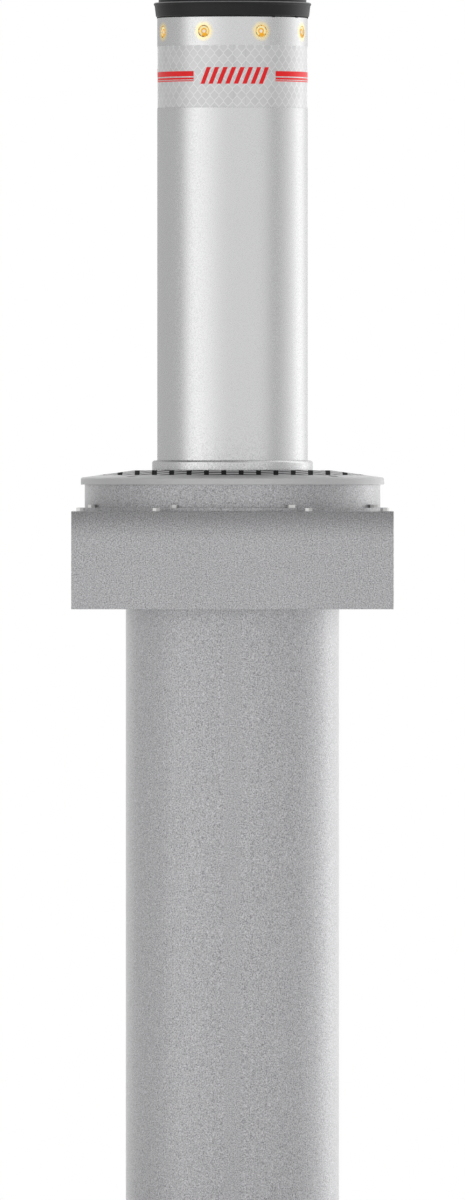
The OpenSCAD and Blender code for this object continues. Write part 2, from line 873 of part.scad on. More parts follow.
// Piston with two seal grooves, on the rod's lower thread
module ram_piston() {
  groove_h = 5;
  groove_deep = 2;
  piston_r = barrel_bore_r - run_gap;
  color("silver") difference() {
    rod(piston_r, piston_top - piston_h, piston_top);
    rod(piston_thread_r, piston_top - piston_h - cut, piston_top + cut);
    for (share = [1 / 3, 2 / 3])
      pipe(piston_r + cut, piston_r - groove_deep, piston_top - piston_h * share - groove_h / 2,
           piston_top - piston_h * share + groove_h / 2);
  }
}

// Rising tube and its foot

module ring_bolt_places() {
  around(ring_bolt_count, ring_bolt_circle_r, ring_bolt_turn) children();
}

module head_bolt_places() {
  around(head_bolt_count, bore_r - head_ledge_w / 2 - drop_gap) children();
}

module lens_places() {
  around(lens_count, 0, turn / lens_count / 2) at(lens_level) rotate([0, 90, 0]) children();
}

// Turned profile of the rising tube, from its foot flange up past the ledge and the recess
module tube_profile() {
  recess_r = tube_r - band_recess;
  ledge_low = head_plate_bottom - head_ledge_t;
  polygon([
    [foot_flange_r, tube_foot],
    [tube_r, tube_foot],
    [tube_r, band_top - band_h],
    [recess_r, band_top - band_h],
    [recess_r, band_top],
    [tube_r, band_top],
    [tube_r, tube_top],
    [bore_r, tube_top],
    [bore_r, head_plate_bottom],
    [head_ledge_r, head_plate_bottom],
    [head_ledge_r, ledge_low],
    [bore_r, ledge_low],
    [bore_r, tube_foot + foot_flange_t],
    [foot_flange_r, tube_foot + foot_flange_t]]);
}

// Rising tube, with its foot flange, head ledge, light holes and band recess
module bollard_tube() {
  color("silver") difference() {
    at(0) rotate_extrude() tube_profile();
    lens_places() translate([0, 0, bore_r - tube_wall]) cylinder(r = lens_d / 2 + lens_gap, h = 3 * tube_wall);
    ring_bolt_places() rod(m10_d / 2, tube_foot - cut, tube_foot + foot_flange_t + cut);
    head_bolt_places() rod(m8_d / 2, head_plate_bottom - head_ledge_t - cut, head_plate_bottom + cut);
  }
}

// Ring bolted under the tube, which slides on the four columns
module guide_ring() {
  color("gray") difference() {
    pipe(ring_r, foot_flange_r, ring_bottom, tube_foot);
    column_places() rod(slide_r, ring_bottom - cut, tube_foot + cut);
    ring_bolt_places() {
      rod(m10_d / 2 + hole_gap, ring_bottom - cut, tube_foot + cut);
      rod(m10_head_d / 2 + hole_gap, ring_bottom - cut, ring_bottom + m10_head_h);
    }
  }
}

module slide_bushes() {
  color("saddlebrown") column_places() at(ring_bottom) difference() {
    cylinder(r = slide_r, h = ring_t);
    translate([0, 0, -cut]) cylinder(r = column_r + run_gap, h = ring_t + 2 * cut);
  }
}

module ring_bolts() {
  color("silver") ring_bolt_places() at(ring_bottom + m10_head_h) rotate([180, 0, 0])
    socket_screw(m10_d, m10_head_d, m10_head_h, ring_t - m10_head_h + foot_flange_t);
}

// Reflective band

band_r = tube_r - band_recess + band_t;
film_bore_r = band_r + glue_t;

module reflective_band() {
  color("gainsboro") pipe(band_r, tube_r - band_recess, band_top - band_h, band_top);
}

// Wedge seen from above, as wide as an angle each side of its middle
module sector(half_angle, reach) {
  steps = 12;
  polygon(concat([[0, 0]],
    [for (k = [-steps:steps]) reach * [cos(half_angle * k / steps), sin(half_angle * k / steps)]]));
}

// Three stripes that run between the barred fields
module band_stripes() {
  stripe_half_angle = turn / field_count / 2 - field_half_angle;
  wedge_turn = front + field_turn + turn / field_count / 2;
  tops = [0, stripe_h[0] + stripe_gap[0], stripe_h[0] + stripe_gap[0] + stripe_h[1] + stripe_gap[1]];
  color("crimson") intersection() {
    union()
      for (k = [0:2]) {
        high = band_top - stripe_drop - tops[k];
        pipe(film_bore_r + film_t, film_bore_r, high - stripe_h[k], high);
      }
    at(band_top - band_h) linear_extrude(band_h)
      for (k = [0:field_count - 1])
        rotate(wedge_turn + turn * k / field_count) sector(stripe_half_angle, 2 * tube_r);
  }
}

// Slanted bars in each field, each one a thin leaning slab cut to the band's skin
module band_bars() {
  lean = 22;
  bar_w = 2 * band_r * sin(bar_half_angle) / bar_count / 2;
  bar_mid = band_top - bar_drop - bar_h / 2;
  color("crimson") intersection() {
    pipe(film_bore_r + film_t, film_bore_r, bar_mid - bar_h / 2, bar_mid + bar_h / 2);
    union()
      for (f = [0:field_count - 1], k = [0:bar_count - 1])
        rotate(front + field_turn + turn * f / field_count
               + bar_half_angle * (2 * (k + 0.5) / bar_count - 1))
          at(bar_mid) translate([band_r, 0, 0]) rotate([-lean, 0, 0])
            cube([tube_r / 4, bar_w, 2 * bar_h], center = true);
  }
}

// Lights

board_gap = 1.2;
board_flat_r = bore_r * cos(turn / lens_count / 2) - board_gap;
lens_sink = 0.5;
lens_face_r = tube_r - lens_sink;

// Light lens: a stepped plug through the wall with an amber dome in a ringed face
module light_lens(k) {
  ring_deep = 0.8;
  ring_w = 1;
  shoulder_gap = 0.1;
  dome_r = lens_dome_d / 2;
  shoulder_out = sqrt(pow(bore_r, 2) - pow(lens_shoulder_d / 2, 2)) - shoulder_gap;
  color("orange") rotate(front + turn * (k - 0.5) / lens_count) at(lens_level) rotate([0, 90, 0])
    difference() {
      union() {
        translate([0, 0, board_flat_r]) cylinder(d = lens_d, h = lens_face_r - board_flat_r);
        translate([0, 0, shoulder_out - lens_shoulder_t])
          cylinder(d = lens_shoulder_d, h = lens_shoulder_t);
      }
      translate([0, 0, lens_face_r - ring_deep]) difference() {
        cylinder(r = dome_r + ring_w, h = ring_deep + cut);
        translate([0, 0, -cut]) cylinder(r = dome_r, h = ring_deep + 3 * cut);
      }
    }
}

// Eight-sided ring of light boards behind the lenses
module light_board() {
  color("seagreen") at(lens_level - board_h / 2) rotate(turn / lens_count) difference() {
    cylinder(r = board_flat_r / cos(turn / lens_count / 2), h = board_h, $fn = lens_count);
    translate([0, 0, -cut])
      cylinder(r = (board_flat_r - board_t) / cos(turn / lens_count / 2), h = board_h + 2 * cut,
               $fn = lens_count);
  }
}

// Head

pillar_thread_d = 10;
pillar_thread_floor = 3;
pillar_thread_h = head_plate_t - pillar_thread_floor;

module pillar_places() {
  around(pillar_count, pillar_circle_r, pillar_turn) children();
}

// Plate that the rod lifts, bolted down to the ledge in the tube
module head_plate() {
  color("gray") difference() {
    rod(head_plate_r, head_plate_bottom, head_plate_top);
    rod(rod_thread_d / 2 + hole_gap, head_plate_bottom - cut, head_plate_top + cut);
    pillar_places() rod(pillar_thread_d / 2, head_plate_top - pillar_thread_h, head_plate_top + cut);
    head_bolt_places() {
      rod(m8_d / 2 + hole_gap, head_plate_bottom - cut, head_plate_top + cut);
      rod(m8_head_d / 2 + hole_gap, head_plate_top - m8_head_h, head_plate_top + cut);
    }
  }
}

module head_plate_bolts() {
  color("silver") head_bolt_places() at(head_plate_top - m8_head_h)
    socket_screw(m8_d, m8_head_d - 2 * hole_gap, m8_head_h, head_plate_t - m8_head_h + head_ledge_t);
}

module rod_washer() {
  washer_margin = 6;
  washer_r = rod_nut_af / 2 + washer_margin;
  color("silver") pipe(washer_r, rod_thread_d / 2 + hole_gap, head_plate_top, head_plate_top + washer_t);
}

module rod_nut() {
  color("silver") at(head_plate_top + washer_t) difference() {
    hexagon(rod_nut_af, rod_nut_h);
    translate([0, 0, -cut]) cylinder(d = rod_thread_d, h = rod_nut_h + 2 * cut);
  }
}

cap_screw_level = cap_top - csk_sink;
cap_screw_in = 28;
cap_screw_floor = 2;

// Hexagon pillars between the head plate and the cap
module cap_pillars() {
  pillar_h = cap_bottom - head_plate_top;
  color("silver") pillar_places() at(head_plate_top) difference() {
    union() {
      hexagon(pillar_af, pillar_h);
      translate([0, 0, -pillar_thread_h]) cylinder(d = pillar_thread_d, h = pillar_thread_h + cut);
    }
    translate([0, 0, pillar_h - cap_screw_in - cap_screw_floor])
      cylinder(d = m10_d, h = cap_screw_in + cap_screw_floor + cut);
  }
}

// Cast cap: a tapered rim with a rounded lip, a lower crown, a spigot and three bosses
module head_cap() {
  lip_r = tube_r + cap_lip;
  lip_round = 3;
  foot_chamfer = 1.5;
  crown_r = lip_r - cap_crown_step;
  crown_chamfer = 2;
  cavity_r = bore_r - drop_gap - cap_spigot_wall;
  boss_r = 13;
  rim_top = cap_bottom + cap_rim_h;
  lip_low = rim_top - 2 * lip_round;
  color([0.15, 0.15, 0.15]) difference() {
    union() {
      at(0) rotate_extrude() difference() {
        union() {
          polygon([
            [0, cap_bottom],
            [tube_r + cap_foot_lip - foot_chamfer, cap_bottom],
            [tube_r + cap_foot_lip, cap_bottom + foot_chamfer],
            [lip_r - lip_round / 2, lip_low],
            [lip_r - lip_round, rim_top],
            [crown_r, rim_top],
            [crown_r, cap_top - crown_chamfer],
            [crown_r - crown_chamfer, cap_top],
            [0, cap_top]]);
          translate([lip_r - lip_round, rim_top - lip_round]) circle(r = lip_round);
        }
        translate([-cut, cap_bottom - cut]) square([cavity_r + cut, cap_ceiling - cap_bottom + cut]);
        translate([-2 * tube_r, 0]) square([2 * tube_r, 2 * cap_top]);
      }
      pipe(head_plate_r, cavity_r, cap_bottom - cap_spigot_h, cap_bottom + cut);
      pillar_places() rod(boss_r, cap_bottom, cap_ceiling + cut);
    }
    pillar_places() {
      rod(m10_d / 2 + hole_gap, cap_bottom - cut, cap_top);
      at(cap_screw_level - csk_head_h) cylinder(d1 = m10_d, d2 = csk_head_d, h = csk_head_h);
      rod(csk_head_d / 2, cap_screw_level, cap_top + cut);
    }
  }
}

module cap_screws() {
  shank = cap_screw_level - csk_head_h - cap_bottom + cap_screw_in;
  color("silver") pillar_places() at(cap_screw_level) difference() {
    union() {
      translate([0, 0, -csk_head_h]) cylinder(d1 = m10_d, d2 = csk_head_d, h = csk_head_h);
      translate([0, 0, -csk_head_h - shank]) cylinder(d = m10_d, h = shank);
    }
    translate([0, 0, -socket_depth]) hexagon(m10_d * socket_share, socket_depth + cut);
  }
}

// Flat gasket with two sets of three tabs that hook over the tube's edge
module cap_gasket() {
  inset = 2;
  tab_out = 1.3;
  tab_drop = 0.9;
  tab_gap = 0.05;
  tab_turns = [33, 58, 83];
  color([0.08, 0.08, 0.08]) union() {
    pipe(tube_r - inset, bore_r + drop_gap, tube_top, cap_bottom);
    for (set = [0, turn / 2], t = tab_turns)
      rotate(front + set + t) {
        at(tube_top) translate([tube_r - inset - 1, -gasket_tab_w / 2, 0])
          cube([inset + 1 + tab_out, gasket_tab_w, gasket_t]);
        at(tube_top - tab_drop) translate([tube_r + tab_gap, -gasket_tab_w / 2, 0])
          cube([tab_out - tab_gap, gasket_tab_w, tab_drop + gasket_t / 2]);
      }
  }
}

pit_base();
drain_strainer();
pit_tube();
casing_box();
casing_rear();
box_floor();
lid_frame();
conduit_sleeve();
box_lid();
lid_bolts();
neck_drum();
neck_bolts();
unit_plate();
unit_bolts();
tread_flange();
tread_grip();
flange_screws();
collar_ring();
scraper_seal();
guide_sleeve();
guide_bush_upper();
guide_bush_lower();
for (k = [1:column_count])
  guide_column(k);
column_nuts();
column_stops();
foot_plate();
foot_bumpers();
ram_block();
ram_barrel();
ram_gland_nut();
ram_port();
bollard_tube();
reflective_band();
band_stripes();
band_bars();
for (k = [1:lens_count])
  light_lens(k);
light_board();
head_plate();
head_plate_bolts();
cap_pillars();
rod_nut();
rod_washer();
ram_rod();
ram_piston();
head_cap();
cap_gasket();
cap_screws();
guide_ring();
slide_bushes();
ring_bolts();
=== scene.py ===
"""Looks of the rising security bollard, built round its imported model.

Metres, in the model's own frame: Z up the rising axis, the front faces -Y, and Z = 0 is the
underside of the pit base. Angles round the axis are measured from the front towards +X.
"""

import json
import math

import bpy
import numpy as np
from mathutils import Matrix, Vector


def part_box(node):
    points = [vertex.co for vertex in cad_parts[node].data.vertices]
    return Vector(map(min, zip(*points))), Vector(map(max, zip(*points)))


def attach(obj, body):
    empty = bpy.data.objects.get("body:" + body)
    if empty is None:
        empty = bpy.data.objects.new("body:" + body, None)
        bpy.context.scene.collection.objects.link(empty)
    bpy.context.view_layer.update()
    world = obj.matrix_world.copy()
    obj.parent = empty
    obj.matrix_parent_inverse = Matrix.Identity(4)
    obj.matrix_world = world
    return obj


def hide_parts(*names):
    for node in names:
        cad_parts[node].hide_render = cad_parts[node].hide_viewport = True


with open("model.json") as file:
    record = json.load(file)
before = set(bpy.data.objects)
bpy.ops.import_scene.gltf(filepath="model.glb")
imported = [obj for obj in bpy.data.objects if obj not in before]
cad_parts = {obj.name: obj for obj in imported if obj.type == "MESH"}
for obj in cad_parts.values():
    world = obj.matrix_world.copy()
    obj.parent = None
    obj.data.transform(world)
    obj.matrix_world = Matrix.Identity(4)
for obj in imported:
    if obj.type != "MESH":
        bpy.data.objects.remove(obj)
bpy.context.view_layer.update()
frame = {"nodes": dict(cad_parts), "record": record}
NODES = frame["nodes"]
TURN = 2 * math.pi

# The photograph's frame, and the scale that the 273 mm tube gives it
PHOTO_ROWS = 1200
METRES_PER_PIXEL = 0.00181
TREAD_ROW = 478
CAP_LIP_ROW = 2.5

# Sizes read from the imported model. The tread's foot is a neck's rise above the box.
NECK_RISE = 0.060
BOX_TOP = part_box("casing_box")[1].z
TREAD_LEVEL = BOX_TOP + NECK_RISE
TREAD_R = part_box("tread_flange")[1].x
TUBE_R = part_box("bollard_tube")[1].x
BAND_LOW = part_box("reflective_band")[0].z
BAND_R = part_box("reflective_band")[1].x
CAP_LIP_TOP = TREAD_LEVEL + (TREAD_ROW - CAP_LIP_ROW) * METRES_PER_PIXEL
LENS_LEVEL = sum(corner.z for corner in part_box("light_lens_1")) / 2
LENS_COUNT = 8


class Wire:
    """A number's socket in a node tree. Arithmetic on it adds Math nodes."""

    def __init__(self, look, socket):
        self.look = look
        self.socket = socket

    def math(self, operation, *others):
        return self.look.node("ShaderNodeMath", {"operation": operation}, [self, *others])

    def __add__(self, other):
        return self.math("ADD", other)

    def __sub__(self, other):
        return self.math("SUBTRACT", other)

    def __mul__(self, other):
        return self.math("MULTIPLY", other)

    def __truediv__(self, other):
        return self.math("DIVIDE", other)

    def __neg__(self):
        return self.math("MULTIPLY", -1.0)

    def __rsub__(self, other):
        return self.math("MULTIPLY_ADD", -1.0, other)

    __radd__ = __add__
    __rmul__ = __mul__

    def clamp(self):
        return self.look.node("ShaderNodeClamp", {}, [self])

    def step(self, low, high):
        """0 below low and 1 above high, with a smooth ramp between them; low may be above high."""
        kind = {"interpolation_type": "SMOOTHSTEP"}
        return self.look.node("ShaderNodeMapRange", kind, [self, low, high, 0.0, 1.0])


class Look:
    """A material or a world under construction."""

    def __init__(self, owner):
        self.owner = owner
        owner.use_nodes = True
        self.tree = owner.node_tree
        self.tree.nodes.clear()

    def node(self, kind, settings, inputs, output=0):
        """Adds one node.

        settings are the node's own properties. inputs are its sockets' values or wires, as a
        list in the sockets' order or as a dict by their names or numbers.
        """
        made = self.tree.nodes.new(kind)
        for name, value in settings.items():
            setattr(made, name, value)
        pairs = inputs.items() if isinstance(inputs, dict) else enumerate(inputs)
        for key, value in pairs:
            self.feed(made.inputs[key], value)
        return Wire(self, made.outputs[output])

    def feed(self, socket, value):
        """Links a wire to a socket, or sets the socket's own value."""
        if isinstance(value, Wire):
            self.tree.links.new(value.socket, socket)
        elif isinstance(value, (tuple, list)) and socket.type == "RGBA":
            socket.default_value = (*value, 1.0)[:4]
        else:
            socket.default_value = value

    def place(self):
        """The point on the piece as a vector, in metres."""
        return self.node("ShaderNodeTexCoord", {}, [], "Object")

    def axes(self, vector):
        """The three parts of a vector."""
        made = self.node("ShaderNodeSeparateXYZ", {}, [vector])
        return [Wire(self, out) for out in made.socket.node.outputs]

    def vector(self, x, y, z):
        return self.node("ShaderNodeCombineXYZ", {}, [x, y, z])

    def noise(self, size, detail=2.0, rough=0.5, at=None, shift=0.0):
        """Noise from 0 to 1, about size metres from one lump to the next."""
        where = self.place() if at is None else at
        if shift:
            where = self.node("ShaderNodeVectorMath", {"operation": "ADD"}, [where, (shift,) * 3])
        kind = {"noise_dimensions": "3D"}
        values = {"Vector": where, "Scale": 1.0 / size, "Detail": detail, "Roughness": rough}
        return self.node("ShaderNodeTexNoise", kind, values, "Fac")

    def stretched(self, x, y, z):
        """The point on the piece with each axis scaled, for grain that runs one way."""
        kind = {"operation": "MULTIPLY"}
        return self.node("ShaderNodeVectorMath", kind, [self.place(), (x, y, z)])

    def cells(self, size):
        """Distance to the nearest of many scattered points, about size metres apart."""
        values = {"Vector": self.place(), "Scale": 1.0 / size}
        return self.node("ShaderNodeTexVoronoi", {}, values, "Distance")

    def chance(self, seed, output="Value"):
        """A random number from 0 to 1 for each seed vector, or its random Color."""
        kind = {"noise_dimensions": "3D"}
        return self.node("ShaderNodeTexWhiteNoise", kind, {"Vector": seed}, output)

    def mix(self, factor, first, second):
        """Colour from the first to the second as factor goes from 0 to 1."""
        values = {0: factor, 6: first, 7: second}
        return self.node("ShaderNodeMix", {"data_type": "RGBA"}, values, 2)

    def tint(self, colour, amount):
        """A colour times a grey that varies."""
        grey = self.vector(amount, amount, amount)
        kind = {"data_type": "RGBA", "blend_type": "MULTIPLY"}
        return self.node("ShaderNodeMix", kind, {0: 1.0, 6: colour, 7: grey}, 2)

    def soft_edges(self, radius):
        """The surface's normal with its edges rounded."""
        return self.node("ShaderNodeBevel", {"samples": 4}, {"Radius": radius})

    def relief(self, height, depth, normal=None):
        """A normal that follows a height from 0 to 1, with depth metres between the two."""
        values = {"Height": height, "Distance": depth, "Strength": 1.0}
        if normal is not None:
            values["Normal"] = normal
        return self.node("ShaderNodeBump", {}, values)

    def surface(self, **values):
        """Ends the material in one Principled shader; _ in its sockets' names stands for a space."""
        named = {name.replace("_", " "): value for name, value in values.items()}
        shader = self.node("ShaderNodeBsdfPrincipled", {}, named)
        self.end("ShaderNodeOutputMaterial", shader)
        return self.owner

    def end(self, kind, shader):
        """Links a shader to the output node of its material or world."""
        out = self.tree.nodes.new(kind)
        self.tree.links.new(shader.socket, out.inputs["Surface"])

    def rays(self):
        """Two masks: rays straight from the camera, and rays that come by a mirror or glass."""
        path = self.node("ShaderNodeLightPath", {}, []).socket.node
        kinds = ("Is Camera Ray", "Is Glossy Ray", "Is Transmission Ray")
        seen, glossy, through = (Wire(self, path.outputs[kind]) for kind in kinds)
        return seen, (glossy + through).clamp()


def material(name):
    return Look(bpy.data.materials.new(name))


# Finishes


def light_polar(look):
    """Place round the nearest light's centre: distance in metres, turns, and the light's number.

    The angle round the tube is folded into one eighth of a turn, with a light in its middle.
    The turns count from sideways towards up, from -0.5 to 0.5.
    """
    x, y, z = look.axes(look.place())
    eighths = x.math("ARCTAN2", -y) * (LENS_COUNT / TURN)
    across = (eighths.math("FRACT") - 0.5) * (TURN / LENS_COUNT * TUBE_R)
    up = z - LENS_LEVEL
    distance = (across * across + up * up).math("SQRT")
    return distance, up.math("ARCTAN2", across) / TURN, eighths.math("FLOOR")


# The edge of the glow round each light: its teeth, their height and its rag, in metres
GLOW_TEETH = 24
GLOW_TOOTH = 0.0008
GLOW_RAG = 0.0015


def satin_stainless(name, glow_reach=None):
    """Blasted satin steel: fine grain, faint cloud and, where stated, a painted glow round each
    light.

    The glow fades out at glow_reach metres from the light's centre.
    """
    look = material(name)
    fine = look.noise(0.0020, 3.0, 0.75)
    speckle = look.noise(0.0026, 2.0, 0.7, shift=3.0).step(0.36, 0.64)
    cloud = look.noise(0.12, 2.0, 0.5, shift=7.0)
    steel = look.tint((0.74, 0.74, 0.745), 0.97 + 0.03 * fine + 0.03 * cloud)
    values = {}
    if glow_reach:
        distance, turns, number = light_polar(look)
        teeth = (turns * (TURN * GLOW_TEETH)).math("SINE") * GLOW_TOOTH
        ragged = (speckle - 0.5) * GLOW_RAG
        glow = (distance + teeth + ragged).step(glow_reach, 0.55 * glow_reach)
        # Painted light: round each light the steel's colour turns amber and takes a faint emission,
        # a painted pool of the lights' spill.
        steel = look.mix(glow, steel, (0.98, 0.86, 0.50))
        values["Emission_Color"] = look.mix(glow, (0.0, 0.0, 0.0), (0.09, 0.05, 0.01))
        values["Emission_Strength"] = 1.0
    grain = look.relief(fine, 0.00019, look.soft_edges(0.0008))
    return look.surface(
        Base_Color=steel,
        Metallic=1.0,
        Roughness=0.15 + 0.24 * speckle,
        Normal=grain,
        **values,
    )


def galvanised_steel(name="galvanised_finish", painted_shadow_reach=None):
    """Matt zinc coat on sheet: fine grain and a pale spangle.

    Where the shadow's reach is given, the box's sides darken towards their top edge from that many
    metres below it: a painted shadow, as under a slab lying over the box.
    """
    look = material(name)
    grain = look.noise(0.0021, 2.0, 0.8)
    spangle = look.noise(0.020, 3.0, 0.6, shift=2.0)
    cloud = look.noise(0.25, 2.0, 0.5, shift=4.0)
    shade = 1.0 + 3.2 * (grain - 0.5) + 0.06 * (spangle - 0.5) + 0.04 * (cloud - 0.5)
    # Painted shadow: the box's sides darken towards their top edge, as under a slab over the box.
    if painted_shadow_reach:
        x, y, z = look.axes(look.place())
        painted_shadow = z.step(BOX_TOP - painted_shadow_reach, BOX_TOP + 0.004)
        shade = shade * (1.0 - 0.52 * painted_shadow)
    return look.surface(
        Base_Color=look.tint((0.415, 0.413, 0.425), shade),
        Metallic=0.30,
        Roughness=0.42 + 0.10 * spangle,
        Coat_Weight=0.9,
        Coat_Roughness=0.22,
        Coat_IOR=1.6,
        Sheen_Weight=0.50,
        Sheen_Roughness=0.35,
        Normal=look.relief(grain, 0.00030, look.soft_edges(0.0010)),
    )


# Pitch of the tread's studs, and the groove's share of it
STUD_PITCH = 0.0313
STUD_GAP = 0.29


def tread_casting():
    """Zinc coated casting: sand grain all over, worn smoother in patches, painted shade in the
    grooves.

    The painted shade lies in the grooves that run sideways, where y / pitch is near a whole number
    and a half, and stays inside the tread's plain rim.
    """
    look = material("tread_casting_finish")
    sand = look.noise(0.0016, 4.0, 0.7)
    patch = look.noise(0.03, 3.0, 0.6, shift=2.0)
    worn = look.noise(0.008, 2.0, 0.5, shift=9.0)
    x, y, z = look.axes(look.place())
    row = ((y / STUD_PITCH).math("FRACT") - 0.5).math("ABSOLUTE")
    inner = (x * x + y * y).math("SQRT").step(TREAD_R - 0.030, TREAD_R - 0.034)
    # Painted shade: the tread's colour darkens along the sideways grooves, standing in for their
    # shadow.
    painted_groove_shade = row.step(0.5 * STUD_GAP + 0.06, 0.5 * STUD_GAP + 0.03) * inner
    shade = (0.82 + 0.2 * sand + 0.1 * patch) * (1.0 - 0.65 * painted_groove_shade)
    return look.surface(
        Base_Color=look.tint((0.54, 0.54, 0.545), shade),
        Metallic=0.10,
        Roughness=0.50 + 0.2 * worn,
        Specular_IOR_Level=0.12,
        Normal=look.relief(sand, 0.00025, look.soft_edges(0.0010)),
    )


def machined_steel(name, colour, roughness):
    """Turned or milled steel with fine tool marks across its height."""
    look = material(name)
    marks = look.noise(0.0012, 2.0, 0.5, at=look.stretched(0.05, 0.05, 1.0))
    smear = look.noise(0.05, 2.0, 0.5, shift=3.0)
    return look.surface(
        Base_Color=look.tint(colour, 0.9 + 0.1 * marks + 0.06 * smear),
        Metallic=1.0,
        Roughness=roughness + 0.1 * smear,
        Normal=look.relief(marks, 0.00004, look.soft_edges(0.0005)),
    )


# The painted highlight along the top edge of the cap's lip fades from the second to the first of
# these half widths
HIGHLIGHT_WIDTHS = (0.0013, 0.0007)


def black_coat():
    """Fine textured black coat on the cast cap, with a painted highlight along the top edge of its
    lip.
    """
    look = material("black_coat_finish")
    orange_peel = look.noise(0.0018, 3.0, 0.6)
    dust = look.noise(0.0030, 2.0, 0.7, shift=4.0)
    x, y, z = look.axes(look.place())
    # Painted highlight: a pale line along the top edge of the cap's lip.
    painted_highlight = (z - CAP_LIP_TOP).math("ABSOLUTE").step(*HIGHLIGHT_WIDTHS)
    black = look.tint((0.008, 0.008, 0.008), 0.6 + 0.8 * dust)
    return look.surface(
        Base_Color=look.mix(painted_highlight, black, (0.13, 0.13, 0.132)),
        Roughness=0.36 + 0.20 * dust,
        Specular_IOR_Level=0.32,
        Sheen_Weight=0.10,
        Sheen_Roughness=0.35,
        Normal=look.relief(orange_peel, 0.00020, look.soft_edges(0.0010)),
    )


def black_rubber(name="black_rubber_finish", shine=0.3):
    """Moulded rubber, matt, with a faint bloom."""
    look = material(name)
    pebble = look.cells(0.0018)
    bloom = look.noise(0.015, 3.0, 0.6, shift=1.0)
    return look.surface(
        Base_Color=look.tint((0.020, 0.020, 0.020), 0.7 + 0.6 * bloom),
        Roughness=0.72 + 0.15 * bloom,
        Specular_IOR_Level=shine,
        Normal=look.relief(pebble, 0.00025, look.soft_edges(0.0006)),
    )


# The film's net: its cells round the band, then in metres the rise from one rank of cells to the
# next but one, the upright length of a cell's sides and the width of a line
NET_CELLS = 52
NET_RANK = 0.0217
NET_SIDE = 0.0027
NET_LINE = 0.0011
# The film's faint butt joints, in degrees, and the half widths in radians between which they fade
FILM_JOINTS = (-54, 1, 10, 66, 121, 176, 231)
JOINT_WIDTHS = (0.010, 0.003)


def reflective_film():
    """Prismatic film: grey cells in a paler net, each cell a little different.

    The cells are upright hexagons in two ranks, the second shifted by half a cell both ways.
    In a cell of half width w and half height h, with sides as long as s, the sloping edges are
    where |y| + k |x| = h, with k = (h - s/2) / w, and the sides where |x| = w.
    """
    look = material("reflective_film_finish")
    x, y, z = look.axes(look.place())
    turned = x.math("ARCTAN2", -y)
    u = turned * (NET_CELLS / TURN)
    v = (z - BAND_LOW) / NET_RANK
    w = math.pi * BAND_R / NET_CELLS
    h = (NET_RANK - NET_SIDE) / 2
    k = (h - NET_SIDE / 2) / w
    inside, number = [], []
    for shift in (0.0, 0.5):
        column, rank = u + shift, v + shift
        across = (column.math("FRACT") - 0.5).math("ABSOLUTE") * (2 * w)
        up = (rank.math("FRACT") - 0.5).math("ABSOLUTE") * NET_RANK
        slope = (h - up - k * across) / math.hypot(1.0, k)
        inside.append(slope.math("MINIMUM", w - across))
        number.append(look.vector(column.math("FLOOR"), rank.math("FLOOR"), shift))
    depth = inside[0].math("MAXIMUM", inside[1])
    line = depth.step(0.8 * NET_LINE, 0.3 * NET_LINE)
    second = inside[1].math("GREATER_THAN", inside[0])
    cell = look.mix(second, number[0], number[1])
    own = look.chance(cell)
    haze = look.noise(0.002, 2.0, 0.6)
    joint = 0.0
    for angle in FILM_JOINTS:
        seam = math.remainder(math.radians(angle), TURN)
        joint = joint + (turned - seam).math("ABSOLUTE").step(*JOINT_WIDTHS)
    grey = look.tint((0.645, 0.645, 0.648), 0.91 + 0.09 * own + 0.07 * haze)
    return look.surface(
        Base_Color=look.tint(look.mix(line, grey, (0.82, 0.82, 0.82)), 1.0 - 0.07 * joint),
        Roughness=0.32,
        Metallic=0.38,
        Coat_Weight=0.9,
        Coat_Roughness=0.15,
        Coat_IOR=1.6,
        Sheen_Weight=0.25,
        Sheen_Roughness=0.35,
        Normal=look.relief(1.0 - line, 0.00006),
    )


def red_film():
    """Glossy red film with a faint fleck."""
    look = material("red_film_finish")
    fleck = look.noise(0.0025, 2.0, 0.6)
    return look.surface(
        Base_Color=look.mix(fleck, (0.76, 0.008, 0.011), (0.88, 0.014, 0.018)),
        Roughness=0.35,
        Coat_Weight=0.15,
        Coat_Roughness=0.15,
        Specular_IOR_Level=0.28,
        Normal=look.relief(fleck, 0.00003),
    )


# The lights' zones, as radii in metres from a light's centre
LIGHT_ZONES = {"core": 0.0031, "emitter": 0.0058, "dish": 0.0093, "rim": 0.0108}
RIM_BEADS = 26


